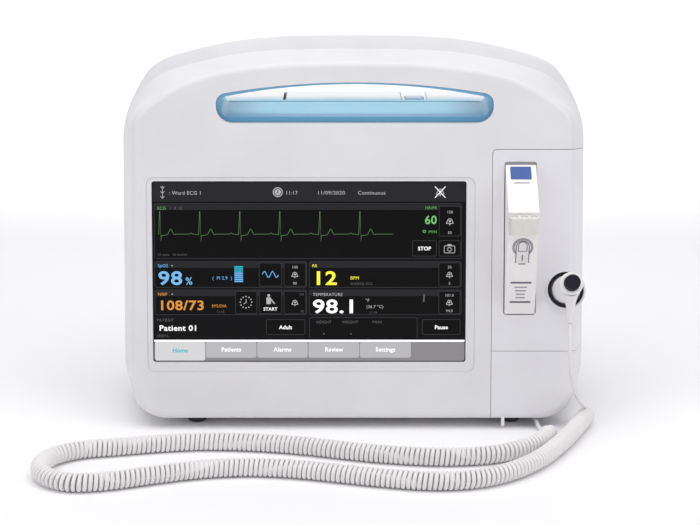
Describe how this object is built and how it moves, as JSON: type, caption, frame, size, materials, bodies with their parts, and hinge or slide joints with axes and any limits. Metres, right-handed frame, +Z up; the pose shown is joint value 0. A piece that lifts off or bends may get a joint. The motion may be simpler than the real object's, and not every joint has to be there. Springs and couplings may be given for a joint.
{
  "type": "patient monitor",
  "caption": "Portable vital-signs monitor with an arched carrying handle, leaning touch screen, side thermometry module with probe on a curly cord, and top printer.",
  "frame": {"origin": "on the table, under the middle of the monitor, its probe and its carton, without the free cord", "axes": "+X to the right as the user faces the screen, +Y to the back, +Z up"},
  "size_m": [0.3446, 0.2383, 0.2411],
  "materials": {
    "housing_white": "fine satin moulded plastic, cool white",
    "module_white": "satin moulded plastic",
    "light_blue": "translucent blue light guide",
    "rim_grey": "satin plastic rim",
    "screen_glass": "black display glass",
    "foam": "closed-cell foam",
    "lcd": "display module",
    "sheet_metal": "zinc-plated sheet",
    "brass": "turned brass",
    "circuit_board": "green solder mask",
    "dark_plastic": "black moulded plastic",
    "grey_plastic": "grey moulded plastic",
    "rubber_dark": "moulded rubber",
    "navy": "dark navy plastic",
    "probe_white": "satin white plastic",
    "steel": "machined steel",
    "card": "coated card",
    "cover_cream": "translucent thin plastic",
    "paper": "thermal paper",
    "cord_white": "soft jacket",
    "latch_blue": "pale blue plastic"
  },
  "bodies": {
    "chassis": {"front_housing": "housing_white", "rear_housing": "housing_white", "handle_light_bar": "light_blue", "light_strip": "circuit_board", "display_bezel": "rim_grey", "touch_glass": "screen_glass", "display_gasket": "foam", "lcd_panel": "lcd", "display_frame": "sheet_metal", "standoffs": "brass", "main_board": "circuit_board", "chassis_plate": "sheet_metal", "power_supply": "sheet_metal", "power_inlet": "dark_plastic", "port_panel": "grey_plastic", "usb_ports": "steel", "network_port": "grey_plastic", "battery_pack": "dark_plastic", "battery_cover": "housing_white", "battery_screw": "steel", "speaker": "dark_plastic", "cuff_pump": "steel", "air_manifold": "grey_plastic", "air_valves": "dark_plastic", "oximeter_board": "circuit_board", "side_port_plate": "grey_plastic", "cuff_port": "steel", "ecg_socket": "dark_plastic", "oximeter_socket": "dark_plastic", "thermometer_cover": "module_white", "lower_panel": "module_white", "carton_holder": "module_white", "probe_well": "grey_plastic", "probe_well_ring": "navy", "thermometry_board": "circuit_board", "cord_socket": "grey_plastic", "printer_bay": "grey_plastic", "roll_spindle": "grey_plastic", "print_head": "dark_plastic", "door_pin": "steel", "bay_trim": "housing_white", "feet": "rubber_dark", "housing_screws": "steel", "mounting_inserts": "brass", "probe_cord_lead": "cord_white", "probe_cord_coil": "cord_white", "probe_cord_tail": "cord_white", "cord_plug": "grey_plastic"},
    "probe": {"probe_handle": "probe_white", "probe_shaft": "probe_white", "probe_tip": "steel", "strain_relief": "cord_white", "eject_spring": "steel"},
    "eject_button": {"eject_button": "navy"},
    "carton": {"carton": "card", "probe_covers": "cover_cream"},
    "power_button": {"power_button": "grey_plastic"},
    "printer_door": {"printer_door": "housing_white"},
    "door_latch": {"door_latch": "latch_blue"},
    "paper_roll": {"paper_roll": "paper"}
  },
  "joints": [
    {"name": "probe_slide", "type": "slide", "parent": "chassis", "child": "probe", "axis": [0, -0.9272, 0.3746], "range_m": [0, 0.115]},
    {"name": "eject_press", "type": "slide", "parent": "probe", "child": "eject_button", "axis": [0, 0.9272, -0.3746], "range_m": [0, 0.004], "stiffness_N_per_m": 400, "deforming": ["eject_spring"]},
    {"name": "carton_lift", "type": "slide", "parent": "chassis", "child": "carton", "axis": [0, -0.2588, 0.9659], "range_m": [0, 0.07]},
    {"name": "power_press", "type": "slide", "parent": "chassis", "child": "power_button", "axis": [0, -1, 0], "range_m": [0, 0.0012], "stiffness_N_per_m": 500},
    {"name": "printer_door_hinge", "type": "hinge", "parent": "chassis", "child": "printer_door", "pos_m": [-0.0065, 0.066, 0.1954], "axis": [-1, 0, 0], "range_deg": [0, 85]},
    {"name": "latch_press", "type": "slide", "parent": "chassis", "child": "door_latch", "axis": [0, 0, -1], "range_m": [0, 0.0012], "stiffness_N_per_m": 500},
    {"name": "paper_feed", "type": "hinge", "parent": "chassis", "child": "paper_roll", "pos_m": [-0.0065, 0.0525, 0.1685], "axis": [1, 0, 0], "continuous": true}
  ]
}
